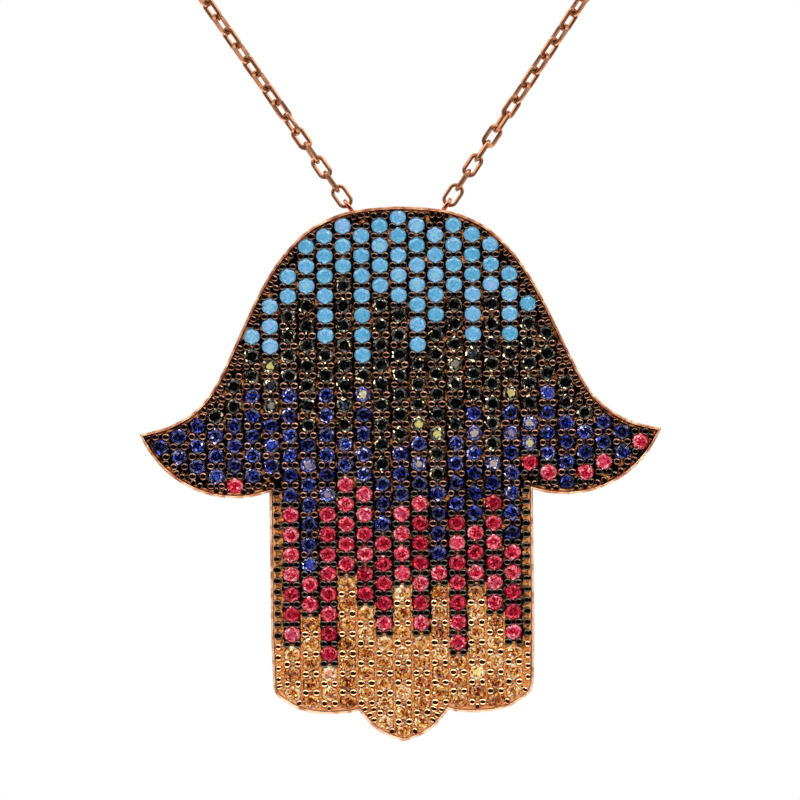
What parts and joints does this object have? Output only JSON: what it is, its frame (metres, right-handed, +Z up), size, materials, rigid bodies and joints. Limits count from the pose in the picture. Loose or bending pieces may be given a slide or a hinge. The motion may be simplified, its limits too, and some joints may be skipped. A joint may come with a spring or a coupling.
{
  "type": "hamsa pendant necklace",
  "caption": "Hamsa pendant: an upside-down open hand of rose gold plate paved with small round stones, on a fine cable chain with a barrel clasp.",
  "frame": {"origin": "middle of the barrel clasp, where the necklace rests on the nape of the neck", "axes": "+Z up, the pendant's stones face -Y, +X to the right of someone looking at them"},
  "size_m": [0.1222, 0.1103, 0.1552],
  "materials": {
    "rose_gold": "polished rose gold plate over silver",
    "turquoise": "opaque faceted turquoise",
    "blue_stone": "clear sapphire blue, faceted",
    "ruby_stone": "clear ruby red, faceted",
    "black_stone": "black spinel, faceted",
    "champagne_stone": "clear champagne, faceted",
    "black_rhodium": "black rhodium plate"
  },
  "bodies": {
    "necklace": {"chain_left": "rose_gold", "chain_right": "rose_gold", "end_link_left": "rose_gold", "end_link_right": "rose_gold", "clasp": "rose_gold"},
    "pendant": {"hand_plate": "rose_gold", "turquoise_stones": "turquoise", "blue_stones": "blue_stone", "ruby_stones": "ruby_stone"}
  },
  "joints": [
    {"name": "pendant_swing", "type": "hinge", "parent": "necklace", "child": "pendant", "pos_m": [0, -0.108, -0.113], "axis": [1, 0, 0], "range_deg": [-45, 45]}
  ]
}
